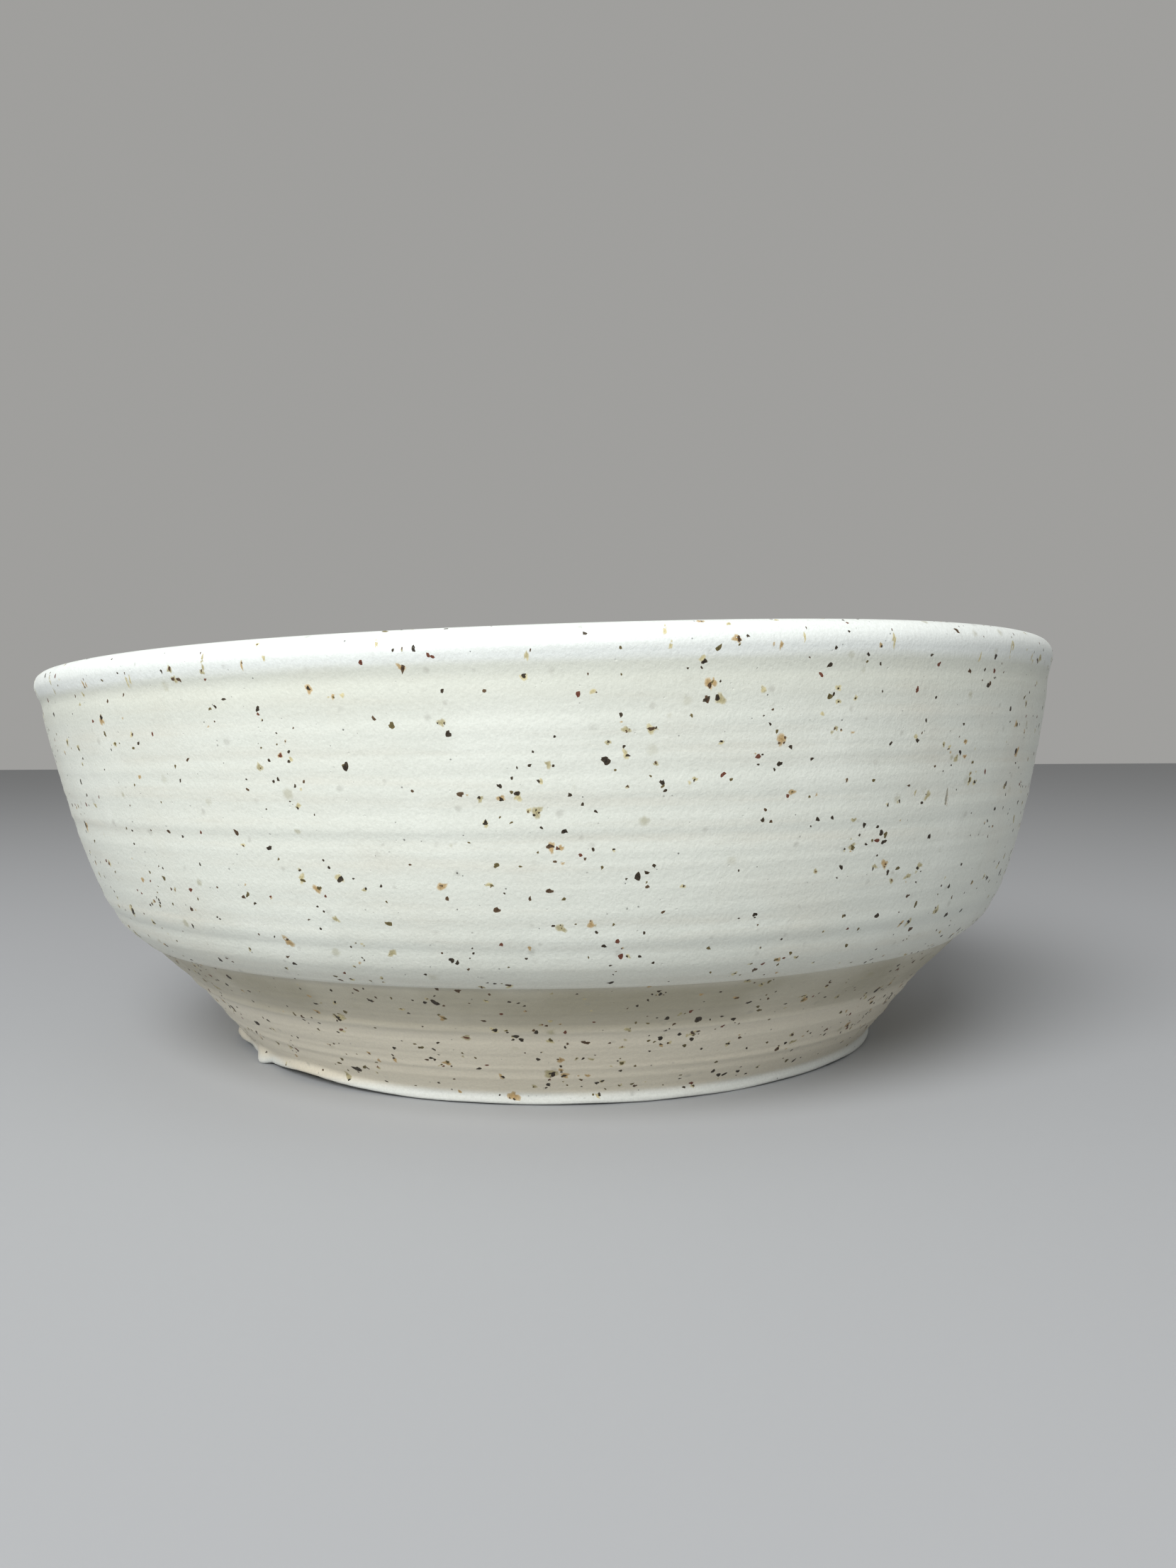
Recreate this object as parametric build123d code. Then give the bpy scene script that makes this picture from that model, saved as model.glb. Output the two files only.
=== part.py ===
from build123d import *
import math
import os

# A wheel-thrown stoneware yarn bowl with a satin speckled glaze. It stands on its foot ring at
# z = 0, its axis is Z, and its yarn slot opens on the +Y side. Everything is in millimetres.
# The clay is one fired piece. It is held here as its three thrown and turned zones, wall, floor
# and foot ring, which meet face to face, and the glaze coats lie on them face to face.

# Overall sizes
RIM_DIAMETER = 190.0
BOWL_HEIGHT = 70.5
FOOT_DIAMETER = 120.5

# Outside profile, from the table up. Flares are measured from vertical.
FOOT_CONE_HEIGHT = 13.8
FOOT_CONE_FLARE = math.radians(38.4)
BAND_HEIGHT = 8.0
BAND_FLARE = math.radians(45.6)
SHOULDER_HANDLE = 2.5  # how far the wall keeps the band's flare before it turns up
WALL_FULLNESS = 1.0  # share of the wall's rise, down from the lip, that keeps the rim's flare
RIM_FLARE = math.radians(9.5)

# Clay and glaze
WALL_THICKNESS = 5.5
RIM_THICKNESS = 5.0
FLOOR_THICKNESS = 7.0
GLAZE_THICKNESS = 0.6
GLAZE_STOP = 1.2  # bare clay left above the table, so the glaze doesn't stick to the kiln shelf
RIM_DIP = 4.0  # depth of the second dip that makes the lip brighter

# Turned foot
RECESS_DEPTH = 2.5
RING_WIDTH = 8.0

# Yarn slot: a straight fall from the lip, a half turn and a short rise to a rounded end
SLOT_WIDTH = 7.0
SLOT_DROP = 26.0
SLOT_TURN_RADIUS = 11.0
SLOT_RISE = 4.0
SLOT_MOUTH_RADIUS = 5.0  # rounding of the two corners where the slot meets the lip
SLOT_MOUTH_LIFT = 1.0  # how far above the lip the roundings end, so that they cross it cleanly

# Construction margins
BEYOND = 20.0  # how far cutters and insets run past the clay


def along(start, flare, length):
    """The point a given length from start, leaning outwards by flare from vertical."""
    return (start[0] + length * math.sin(flare), start[1] + length * math.cos(flare))


def beside(start, flare, distance):
    """The point at a distance from start, square to a line of that flare, towards the axis."""
    return (start[0] - distance * math.cos(flare), start[1] + distance * math.sin(flare))


# Turning points of the outside profile, as (distance from axis, height)
foot_edge = (FOOT_DIAMETER / 2, 0.0)
foot_top = along(foot_edge, FOOT_CONE_FLARE, FOOT_CONE_HEIGHT / math.cos(FOOT_CONE_FLARE))
shoulder = along(foot_top, BAND_FLARE, BAND_HEIGHT / math.cos(BAND_FLARE))
lip_radius = RIM_THICKNESS / 2
lip_centre = (RIM_DIAMETER / 2 - lip_radius, BOWL_HEIGHT - lip_radius)

# Turning points of the inside profile. The floor rises to the wall in one arc.
inner_shoulder = beside(shoulder, BAND_FLARE, WALL_THICKNESS)
floor_top = RECESS_DEPTH + FLOOR_THICKNESS
sweep_angle = math.pi / 2 - BAND_FLARE
sweep_radius = (inner_shoulder[1] - floor_top) / (1 - math.cos(sweep_angle))
floor_radius = inner_shoulder[0] - sweep_radius * math.sin(sweep_angle)
ring_inner_radius = foot_edge[0] - RING_WIDTH

# Heights that part the coats, and the length of the wall curve's upper handle
dip_height = BOWL_HEIGHT - RIM_DIP
rim_handle = WALL_FULLNESS * (lip_centre[1] - shoulder[1])
slot_turn_height = BOWL_HEIGHT - SLOT_DROP


def wall_curve(bottom, top):
    """The wall's curve, which leaves the shoulder with its flare and nears the lip with the rim's."""
    return Bezier(
        bottom,
        along(bottom, BAND_FLARE, SHOULDER_HANDLE),
        along(top, RIM_FLARE, -rim_handle),
        top,
    )


def profile_face(inset):
    """Half of the bowl's section, a given depth inside its skin. It runs on below the table and
    past the axis, so that only the real surfaces are inset."""
    mean_flare = (FOOT_CONE_FLARE + BAND_FLARE) / 2
    mitre = inset / math.cos((BAND_FLARE - FOOT_CONE_FLARE) / 2)
    cone_top = beside(foot_top, mean_flare, mitre)
    cone_foot = along(cone_top, FOOT_CONE_FLARE, -FOOT_CONE_HEIGHT - BEYOND)
    outer_turn = beside(shoulder, BAND_FLARE, inset)
    inner_turn = beside(inner_shoulder, BAND_FLARE, -inset)
    lip = lip_radius - inset
    lip_outside = beside(lip_centre, RIM_FLARE, -lip)
    lip_inside = beside(lip_centre, RIM_FLARE, lip)
    floor_height = floor_top - inset
    sweep_centre = (floor_radius, floor_top + sweep_radius)
    outline = Polyline(cone_foot, cone_top, outer_turn)
    outline += wall_curve(outer_turn, lip_outside)
    outline += ThreePointArc(lip_outside, (lip_centre[0], lip_centre[1] + lip), lip_inside)
    outline += wall_curve(inner_turn, lip_inside)
    outline += CenterArc(sweep_centre, sweep_radius + inset, -90, math.degrees(sweep_angle))
    outline += Polyline(
        (floor_radius, floor_height), (-BEYOND, floor_height), (-BEYOND, cone_foot[1]), cone_foot
    )
    return make_face(outline)


def region(r_low, z_low, r_high, z_high):
    """A rectangle of the section plane between two radii and two heights."""
    size = (r_high - r_low, z_high - z_low)
    return Pos((r_low + r_high) / 2, (z_low + z_high) / 2) * Rectangle(*size)


def turned(section):
    """The solid that a section makes when it is turned about the bowl's axis."""
    return revolve(Plane.XZ * section, Axis.Z)


# The section, split into clay and glaze
right_of_axis = region(0, 0, RIM_DIAMETER, BOWL_HEIGHT + BEYOND)
recess = region(0, -BEYOND, ring_inner_radius, RECESS_DEPTH)
bowl_section = (profile_face(0) & right_of_axis) - recess
clay_section = (profile_face(GLAZE_THICKNESS) & right_of_axis) - recess
glaze_section = bowl_section - clay_section - region(0, -BEYOND, RIM_DIAMETER, GLAZE_STOP)

# The line that parts inside from outside runs along the middle of the floor and of the wall
mid_floor = RECESS_DEPTH + FLOOR_THICKNESS / 2
mid_shoulder = beside(shoulder, BAND_FLARE, WALL_THICKNESS / 2)
middle = Polyline((0, -BEYOND), (0, mid_floor), (ring_inner_radius, mid_floor), mid_shoulder)
middle += wall_curve(mid_shoulder, lip_centre)
middle += Polyline(lip_centre, (RIM_DIAMETER, lip_centre[1]), (RIM_DIAMETER, -BEYOND), (0, -BEYOND))
outside_half = make_face(middle)


def slot_prism(growth):
    """The yarn slot as a cutter through the +Y wall, made wider all round by growth."""
    turn_centre = (0.0, slot_turn_height)
    fall_top = (-SLOT_TURN_RADIUS, BOWL_HEIGHT + BEYOND)
    rise_top = (SLOT_TURN_RADIUS, slot_turn_height + SLOT_RISE)
    path = Line(fall_top, (-SLOT_TURN_RADIUS, slot_turn_height))
    path += CenterArc(turn_centre, SLOT_TURN_RADIUS, 180, 180)
    path += Line((SLOT_TURN_RADIUS, slot_turn_height), rise_top)
    half_width = SLOT_WIDTH / 2 + growth
    opening = trace(path, 2 * half_width) + Pos(rise_top) * Circle(half_width)
    corner_reach = SLOT_WIDTH / 2 + SLOT_MOUTH_RADIUS
    corner_height = BOWL_HEIGHT - SLOT_MOUTH_RADIUS + SLOT_MOUTH_LIFT
    mouth = region(
        -SLOT_TURN_RADIUS - corner_reach,
        corner_height,
        -SLOT_TURN_RADIUS + corner_reach,
        BOWL_HEIGHT + BEYOND,
    )
    for side in (-1, 1):
        corner = Pos(-SLOT_TURN_RADIUS + side * corner_reach, corner_height)
        mouth -= corner * Circle(SLOT_MOUTH_RADIUS - growth)
    opening += mouth
    return extrude(Plane.XZ * opening, amount=-(RIM_DIAMETER / 2 + BEYOND))


slot = slot_prism(0)
clay_slot = slot_prism(GLAZE_THICKNESS)

# Clay zones
ring_zone = region(ring_inner_radius, -BEYOND, RIM_DIAMETER, RECESS_DEPTH)
floor_zone = region(0, RECESS_DEPTH, inner_shoulder[0], foot_top[1])
parts = {
    "foot_ring": turned(clay_section & ring_zone),
    "clay_floor": turned(clay_section & floor_zone),
    "clay_wall": turned(clay_section - ring_zone - floor_zone) - clay_slot,
}

# Glaze coats
above_dip = region(0, dip_height, RIM_DIAMETER, BOWL_HEIGHT + BEYOND)
outside_coat = (glaze_section & outside_half) - above_dip
inside_coat = (glaze_section - outside_half) - above_dip
below_shoulder = region(0, 0, RIM_DIAMETER, shoulder[1])
parts["wall_glaze"] = turned(outside_coat - below_shoulder) - slot
parts["foot_glaze"] = turned(outside_coat & below_shoulder)
parts["inner_glaze"] = turned(inside_coat) - slot

# The slot's own coat lines the cut clay. Above the dip it belongs to the rim's coat.
uncut_clay = turned(clay_section)
slot_lining = (uncut_clay & clay_slot) - slot
dip_level = Plane.XY.offset(dip_height)
parts["slot_glaze"] = split(slot_lining, bisect_by=dip_level, keep=Keep.BOTTOM)
lip = turned(bowl_section & above_dip) - slot
parts["rim_glaze"] = lip - parts["clay_wall"]

os.makedirs("parts", exist_ok=True)
for name, solid in parts.items():
    export_step(solid, f"parts/{name}.step")
    print(name, [round(piece.volume, 1) for piece in solid.solids()])
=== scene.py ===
"""A hand-thrown stoneware yarn bowl with a speckled satin glaze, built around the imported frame.

Shapes are worked out in millimetres, with the bowl's axis along Z and its yarn slot towards +Y,
and become metres when a mesh is made. The bowl's skin is one closed surface. Each of its points
has a twin that lies one glaze thickness deeper, on the clay. A glaze coat is its own region of
the skin, closed down to the twins, and the clay body is the surface that all the twins make.
"""

import math

import bmesh
import bpy
import numpy as np
from mathutils import Matrix, Vector
from mathutils.bvhtree import BVHTree
from mathutils.geometry import delaunay_2d_cdt


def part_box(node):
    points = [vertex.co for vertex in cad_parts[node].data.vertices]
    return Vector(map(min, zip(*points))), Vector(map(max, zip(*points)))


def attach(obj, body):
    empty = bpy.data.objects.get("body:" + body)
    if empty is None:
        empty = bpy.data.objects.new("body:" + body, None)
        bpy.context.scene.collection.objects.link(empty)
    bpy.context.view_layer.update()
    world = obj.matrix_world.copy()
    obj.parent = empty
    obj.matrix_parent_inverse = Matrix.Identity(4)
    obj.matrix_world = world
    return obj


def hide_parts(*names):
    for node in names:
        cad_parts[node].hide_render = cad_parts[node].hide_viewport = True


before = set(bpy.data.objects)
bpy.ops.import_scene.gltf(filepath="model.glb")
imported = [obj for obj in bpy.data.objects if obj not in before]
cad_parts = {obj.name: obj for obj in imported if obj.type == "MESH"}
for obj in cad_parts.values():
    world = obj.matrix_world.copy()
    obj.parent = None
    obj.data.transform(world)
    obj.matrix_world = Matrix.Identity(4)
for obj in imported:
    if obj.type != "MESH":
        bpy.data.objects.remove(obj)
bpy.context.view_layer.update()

MM = 0.001


def lowest(node):
    """The lowest corner of a CAD node, in millimetres."""
    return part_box(node)[0] / MM


def highest(node):
    """The highest corner of a CAD node, in millimetres."""
    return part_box(node)[1] / MM


# ---------------- sizes, from the frame
RIM_RADIUS = highest("rim_glaze").x
HEIGHT = highest("rim_glaze").z
GLAZE = HEIGHT - highest("clay_wall").z
DIP_HEIGHT = lowest("rim_glaze").z
SHOULDER = np.array([highest("foot_glaze").x, highest("foot_glaze").z])
FOOT_TOP_HEIGHT = highest("clay_floor").z
RECESS_HEIGHT = lowest("clay_floor").z
FLOOR_HEIGHT = lowest("inner_glaze").z + GLAZE

# Thicknesses and flares of the thrown shape, as the CAD has them
WALL = 5.5
LIP_RADIUS = 2.5
RING_WIDTH = 8.0
CONE_FLARE = math.radians(38.4)
BAND_FLARE = math.radians(45.6)
RIM_FLARE = math.radians(9.5)
SHOULDER_HANDLE = 2.5

# The yarn slot: its lining's box gives the turn's place
SLOT_HALF = 3.5
SLOT_TURN = highest("slot_glaze").x - GLAZE - SLOT_HALF
SLOT_TURN_HEIGHT = lowest("slot_glaze").z + GLAZE + SLOT_HALF + SLOT_TURN
SLOT_RISE = 4.0
MOUTH_RADIUS = 5.0

# Hand-made irregularity. A direction round the bowl is an angle from +Y towards +X.
RIM_TILT = 0.031  # the lip is higher towards +X, as a slope
LEAN = 1.75  # how far the lip leans towards -X
LEFT_FLARE = 0.8  # how far the lip turns out on the -X side
RIGHT_FLARE = 0.7  # and on the +X side
FLARE_HEIGHT = 6.0  # how far below the lip it begins to turn out
EDGE_ROLL = 2.6  # how far in from the lip and from the slot's edge the rounding reaches
ROLL_WIDTH = 3.6  # width of the coat that goes round the lip and lines the slot

# The bead of glaze along the foot's edge, and the drop that it ends in, on the left
BEAD_HEIGHT, BEAD_SIZE, BEAD_SPREAD = 0.9, 1.0, 0.58
BEAD_LIFT = 1.35  # how much higher it rides over its ragged stretch
DROP_HEIGHT, DROP_SIZE, DROP_SPREAD = 1.4, 2.1, 0.9
DROP_DEGREES, DROP_DEGREES_WIDE = -123.5, 3.0
GLAZE_FOOT = 0.35  # height at which the glaze ends in the finished bowl
GLAZE_FEATHER = 0.5  # the stretch over which it thins out there
GLAZE_LOST = 0.85  # share of its thickness that is gone at the end

# Mesh fineness
COLUMNS = 480
DOMAIN_RADIUS = 89.0  # radius at which the wall is laid out flat
OUTER_ROW, INNER_ROW, FOOT_ROW = 0.6, 1.0, 0.36
FLOOR_STEP = 1.2
FEWEST = 15  # points in the smallest ring
OUTLINE_STEP = 0.55
CURVE_STEP = 0.1


# ---------------- profile curves
def along(start, flare, length):
    """The point a given length from start, leaning outwards by flare from vertical."""
    return np.array([start[0] + length * math.sin(flare), start[1] + length * math.cos(flare)])


def beside(start, flare, distance):
    """The point at a distance from start, square to a line of that flare, towards the axis."""
    return np.array([start[0] - distance * math.cos(flare), start[1] + distance * math.sin(flare)])


def bezier(a, b, c, d, count=240):
    """Points along a cubic curve."""
    t = np.linspace(0, 1, count)[:, None]
    return (1 - t) ** 3 * a + 3 * (1 - t) ** 2 * t * b + 3 * (1 - t) * t * t * c + t**3 * d


def lengths(path):
    """Distance along a path at each of its points."""
    return np.concatenate([[0], np.cumsum(np.hypot(*np.diff(path, axis=0).T))])


def path_at(path, s, at):
    """The path's points at some distances, where s holds the distance of each of its own."""
    return np.stack([np.interp(at, s, path[:, k]) for k in (0, 1)], axis=-1)


def spaced(path, step=CURVE_STEP):
    """The path again, with points at an even spacing."""
    s = lengths(path)
    return path_at(path, s, np.linspace(0, s[-1], max(2, round(s[-1] / step) + 1)))


def softened(path, sigma):
    """The path with its corners rounded by a running average, its ends kept."""
    path = spaced(path)
    reach = round(3 * sigma / CURVE_STEP)
    weights = np.exp(-0.5 * (np.arange(-reach, reach + 1) * CURVE_STEP / sigma) ** 2)
    weights /= weights.sum()
    before = path[0] - (path[1] - path[0]) * np.arange(reach, 0, -1)[:, None]
    after = path[-1] + (path[-1] - path[-2]) * np.arange(1, reach + 1)[:, None]
    padded = np.vstack([before, path, after])
    return np.column_stack([np.convolve(padded[:, k], weights, "valid") for k in (0, 1)])


def ramp(value, none, full):
    """0 at none and 1 at full, in a straight line between them."""
    return np.clip((value - none) / (full - none), 0, 1)


class Curve:
    """A profile that can be read at any distance along it."""

    def __init__(self, path):
        self.path = path
        self.s = lengths(path)
        self.length = self.s[-1]

    def at(self, s):
        return path_at(self.path, self.s, s)

    def normal(self, s, reach=0.2):
        """Unit normal, to the right of the direction of travel, which is out of the clay."""
        step = self.at(np.minimum(s + reach, self.length)) - self.at(np.maximum(s - reach, 0))
        step /= np.linalg.norm(step, axis=-1, keepdims=True)
        return np.stack([step[..., 1], -step[..., 0]], axis=-1)

    def nearest(self, point):
        """Distance along the curve of its point that is nearest to the given one."""
        return self.s[np.argmin(np.hypot(*(self.path - point).T))]


lip_centre = np.array([RIM_RADIUS - LIP_RADIUS, HEIGHT - LIP_RADIUS])
lip_outside = beside(lip_centre, RIM_FLARE, -LIP_RADIUS)
lip_inside = beside(lip_centre, RIM_FLARE, LIP_RADIUS)
rim_handle = lip_centre[1] - SHOULDER[1]
foot_top = along(SHOULDER, BAND_FLARE, (FOOT_TOP_HEIGHT - SHOULDER[1]) / math.cos(BAND_FLARE))
foot_edge = along(foot_top, CONE_FLARE, -foot_top[1] / math.cos(CONE_FLARE))
inner_shoulder = beside(SHOULDER, BAND_FLARE, WALL)


def wall_curve(bottom, top):
    """The wall's long curve from the shoulder up to the lip."""
    low = along(bottom, BAND_FLARE, SHOULDER_HANDLE)
    return bezier(bottom, low, along(top, RIM_FLARE, -rim_handle), top)


# Outside, from the table up to the lip
outer_wall = wall_curve(SHOULDER, lip_outside)
outside = Curve(softened(np.vstack([foot_edge, foot_top, outer_wall]), sigma=0.8))

# Inside, from the lip down to the floor. The floor rises into the wall in one arc.
inner_wall = wall_curve(inner_shoulder, lip_inside)
sweep_angle = math.pi / 2 - BAND_FLARE
sweep_radius = (inner_shoulder[1] - FLOOR_HEIGHT) / (1 - math.cos(sweep_angle))
floor_radius = inner_shoulder[0] - sweep_radius * math.sin(sweep_angle)
turn = np.linspace(sweep_angle, 0, 80)
sweep = np.column_stack([
    floor_radius + sweep_radius * np.sin(turn),
    FLOOR_HEIGHT + sweep_radius * (1 - np.cos(turn)),
])
floor_line = np.array([[floor_radius * 0.5, FLOOR_HEIGHT], [0.0, FLOOR_HEIGHT]])
inside = Curve(spaced(np.vstack([inner_wall[::-1], sweep[1:], floor_line])))

# The wall as a sheet: its middle and half its thickness, at each distance up from the shoulder
wall_outer = outside.at(outside.nearest(SHOULDER) + lengths(outer_wall))
wall_half = (wall_outer - inner_wall) / 2
lip_top = along(lip_centre, RIM_FLARE, LIP_RADIUS)
sheet_middle = np.vstack([(wall_outer + inner_wall) / 2, lip_top])
sheet_half = np.vstack([wall_half, wall_half[-1]])
sheet_rise = lengths(sheet_middle)
WALL_RISE = sheet_rise[-1]


def sheet(rise):
    """Middle point, half thickness and outward direction of the wall at that rise."""
    half = path_at(sheet_half, sheet_rise, rise)
    thickness = np.linalg.norm(half, axis=-1)
    return path_at(sheet_middle, sheet_rise, rise), thickness, half / thickness[..., None]


def height_at(rise):
    """Height on the upright bowl at that rise up the wall."""
    return np.interp(rise, sheet_rise, sheet_middle[:, 1])


# ---------------- the potter's marks
# Throwing ridges and grooves, as (height, size, width). A groove's size is negative.
RIDGES = [
    (68.0, 0.12, 1.2), (64.9, -0.18, 1.3), (61.0, 0.05, 1.8), (58.4, 0.09, 1.2), (55.8, 0.05, 0.9),
    (53.6, 0.06, 0.8), (51.2, 0.04, 0.8), (49.3, 0.06, 0.9), (45.7, 0.13, 1.1), (43.9, -0.05, 0.7),
    (41.8, 0.07, 0.9), (40.2, 0.04, 0.8), (36.9, 0.06, 1.5), (33.6, 0.05, 1.0), (30.7, 0.13, 1.1),
    (28.6, -0.09, 0.7), (27.0, 0.08, 0.8), (23.2, 0.17, 0.9), (21.0, -0.24, 0.8), (17.8, 0.06, 1.4),
    (13.4, 0.24, 0.6), (10.6, 0.07, 0.9), (7.0, 0.18, 0.45), (4.4, 0.06, 0.8),
]
INNER_RIDGES = [
    (62.0, 0.16, 1.6), (54.0, 0.24, 1.8), (46.5, 0.20, 1.6), (39.0, 0.24, 1.8), (31.5, 0.24, 1.8),
    (24.0, 0.26, 1.8), (18.0, 0.22, 1.8),
]
SPIRAL = 0.35  # how far a ridge climbs and falls on its way round


def bell(distance, width):
    """1 at no distance, and falling smoothly to 0 a few widths away."""
    return np.exp(-((distance / width) ** 2))


def waves(angle, height, count, size, seed, climb=0.02):
    """Smooth unevenness round the bowl, from a few seeded waves."""
    rng = np.random.default_rng(seed)
    total = 0
    for k in range(1, count + 1):
        phase = rng.uniform(0, 2 * math.pi)
        strength = rng.uniform(0.4, 1)
        slope = rng.normal(0, climb)
        total = total + strength / k**0.7 * np.sin(k * angle + phase + slope * height * k)
    return size * total


def ridges(angle, height, marks, seed):
    """Height of the throwing ridges above the smooth wall."""
    total = 0
    for index, (level, size, width) in enumerate(marks):
        drift = SPIRAL * np.sin(angle + 2.4 * index) + waves(angle, level, 5, 0.12, seed + index)
        swell = size * (1 + waves(angle, level, 6, 0.42, seed + 50 + index))
        total = total + swell * bell(height - level - drift, width)
    finger_lines = 0.012 * np.sin(height * 4.1 + np.sin(angle))
    sponge_lines = 0.010 * np.sin(height * 6.7 + 2 * np.sin(angle * 2))
    return total + (finger_lines + sponge_lines)


def near(angle, degrees, spread):
    """1 at a direction round the bowl, and falling to 0 on both sides of it."""
    away = (angle - math.radians(degrees) + math.pi) % (2 * math.pi) - math.pi
    return bell(away, math.radians(spread))


def foot_bead(angle, height):
    """The bead of glaze along the foot's edge. It rides higher over a ragged stretch on the left
    front, where it ends in a drop."""
    ragged = near(angle, -108, 11) + near(angle, -138, 10)
    wander = 0.10 * np.sin(9 * angle) + 0.07 * np.sin(23 * angle)
    level = BEAD_HEIGHT + BEAD_LIFT * np.minimum(ragged, 1) + wander
    fuller = 0.5 * near(angle, -106, 9) - 0.5 * near(angle, -116, 3) + 0.12 * np.sin(7 * angle)
    bead = BEAD_SIZE * (1 + fuller) * bell(height - level, BEAD_SPREAD)
    drop = near(angle, DROP_DEGREES, DROP_DEGREES_WIDE) * bell(height - DROP_HEIGHT, DROP_SPREAD)
    return np.maximum(bead, DROP_SIZE * drop)


def outer_relief(angle, height):
    """Everything that stands proud of the smooth outside, in millimetres."""
    uneven = waves(angle, height, 6, 0.05, 11, 0.05)
    return ridges(angle, height, RIDGES, 3) + uneven + foot_bead(angle, height)


def inner_relief(angle, height):
    """The finger grooves inside, which are wider and deeper than the outside's."""
    return ridges(angle, height, INNER_RIDGES, 40) + waves(angle, height, 5, 0.05, 21, 0.05)


def warped(radius, angle, height):
    """The turned point in space, with the bowl's lean and its tilted, flared and oval lip."""
    rise = np.clip(height / HEIGHT, 0, None)
    near_lip = ramp(height, HEIGHT - FLARE_HEIGHT, HEIGHT) ** 2
    flare = np.where(np.sin(angle) < 0, LEFT_FLARE, RIGHT_FLARE)
    radius = radius + flare * np.sin(angle) ** 2 * near_lip
    oval = 1 + rise**2 * (0.0012 * np.cos(2 * angle + 0.6) + 0.0008 * np.cos(3 * angle + 1.9))
    x = radius * oval * np.sin(angle)
    y = radius * oval * np.cos(angle)
    lip_wave = 0.12 * np.sin(3 * angle + 0.5) + 0.10 * np.sin(5 * angle + 2.0)
    z = height + rise**2 * (RIM_TILT * x + lip_wave)
    return np.stack([x - rise**2 * LEAN, y, z], axis=-1)


# ---------------- points of the skin
def wall_point(across_u, rise, side, depth):
    """Points of the wall. side is 1 outside, -1 inside, and in between on the rounded edge."""
    middle, thickness, outward = sheet(rise)
    angle = across_u / DOMAIN_RADIUS
    relief_out = outer_relief(angle, middle[..., 1]) * np.clip(side, 0, 1) ** 2
    relief_in = inner_relief(angle, middle[..., 1]) * np.clip(-side, 0, 1) ** 2
    offset = side * (thickness - depth) + relief_out - relief_in
    point = middle + outward * offset[..., None]
    return warped(point[..., 0], angle, point[..., 1])


def curve_point(curve, s, angle, depth, relief):
    """Points of the skin off the wall, at distance s along a profile. Relief is added outwards."""
    base = curve.at(s)
    lift = relief(angle, base[..., 1]) - depth
    point = base + curve.normal(s) * lift[..., None]
    return warped(np.maximum(point[..., 0], 0), angle, point[..., 1])


class Skin:
    """The bowl's whole surface: points, their twins on the clay, and faces by region."""

    def __init__(self):
        self.front, self.back, self.level, self.count = [], [], [], 0
        self.faces, self.region, self.clay = [], [], []
        self.clay_part = "clay_wall"

    def add(self, front, back, level=0.0):
        """Adds points and their twins, and returns their numbers. level is their height on the
        upright bowl, before it leans."""
        shape = front.shape[:-1]
        self.front.append(front.reshape(-1, 3))
        self.back.append(back.reshape(-1, 3))
        self.level.append(np.broadcast_to(level, shape).reshape(-1))
        start = self.count
        self.count += self.front[-1].shape[0]
        return np.arange(start, self.count).reshape(shape)

    def face(self, corners, region):
        self.faces.append([int(c) for c in corners])
        self.region.append(region)
        self.clay.append(self.clay_part)

    def band(self, upper, lower, region, closed=True):
        """Quads between two rows of points of the same length."""
        count = len(upper) if closed else len(upper) - 1
        for i in range(count):
            j = (i + 1) % len(upper)
            self.face((upper[i], upper[j], lower[j], lower[i]), region)

    def halved(self, ring, inner, region):
        """Faces from a ring to one with half as many points."""
        for i in range(len(inner)):
            a, b, c = ring[2 * i], ring[2 * i + 1], ring[(2 * i + 2) % len(ring)]
            d, e = inner[i], inner[(i + 1) % len(inner)]
            self.face((a, b, d), region)
            self.face((b, e, d), region)
            self.face((b, c, e), region)

    def fan(self, ring, centre, region):
        for i in range(len(ring)):
            self.face((ring[i], ring[(i + 1) % len(ring)], centre), region)


skin = Skin()

# ---------------- the edge's outline
column_u = (np.arange(COLUMNS) + 0.5 - COLUMNS / 2) * 2 * math.pi * DOMAIN_RADIUS / COLUMNS


def arc(centre, radius, start, end):
    """Points along an arc of the slot's outline, angles in degrees."""
    turn_to = np.radians(np.linspace(start, end, 60))
    return centre + radius * np.column_stack([np.cos(turn_to), np.sin(turn_to)])


def slot_outline():
    """The slot's edge from the lip, down, round the curl and back to the lip, on the wall laid
    flat. The potter cut it by hand, so it wanders a little."""
    mouth_height = lip_top[1] - MOUTH_RADIUS
    reach = SLOT_HALF + MOUTH_RADIUS
    turn_centre = (0.0, SLOT_TURN_HEIGHT)
    end_centre = (SLOT_TURN, SLOT_TURN_HEIGHT + SLOT_RISE)
    edge = np.vstack([
        arc((-SLOT_TURN - reach, mouth_height), MOUTH_RADIUS, 90, 0),
        arc(turn_centre, SLOT_TURN + SLOT_HALF, 180, 360),
        arc(end_centre, SLOT_HALF, 0, 180),
        arc(turn_centre, SLOT_TURN - SLOT_HALF, 360, 180),
        arc((-SLOT_TURN + reach, mouth_height), MOUTH_RADIUS, 180, 90),
    ])
    edge = spaced(edge)
    s = lengths(edge)
    hand = ramp(np.minimum(s, s[-1] - s), 0, 8)
    edge[:, 0] += hand * (0.16 * np.sin(s / 7.3 + 0.4) + 0.08 * np.sin(s / 3.1))
    edge[:, 1] += hand * (0.14 * np.sin(s / 6.1 + 2.0) + 0.07 * np.sin(s / 2.7 + 1.0))
    rise = np.interp(edge[:, 1], sheet_middle[:, 1], sheet_rise)
    radius = np.interp(rise, sheet_rise, sheet_middle[:, 0])
    u = DOMAIN_RADIUS * np.arcsin(edge[:, 0] / radius)
    return spaced(np.column_stack([u, rise]), OUTLINE_STEP)


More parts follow.
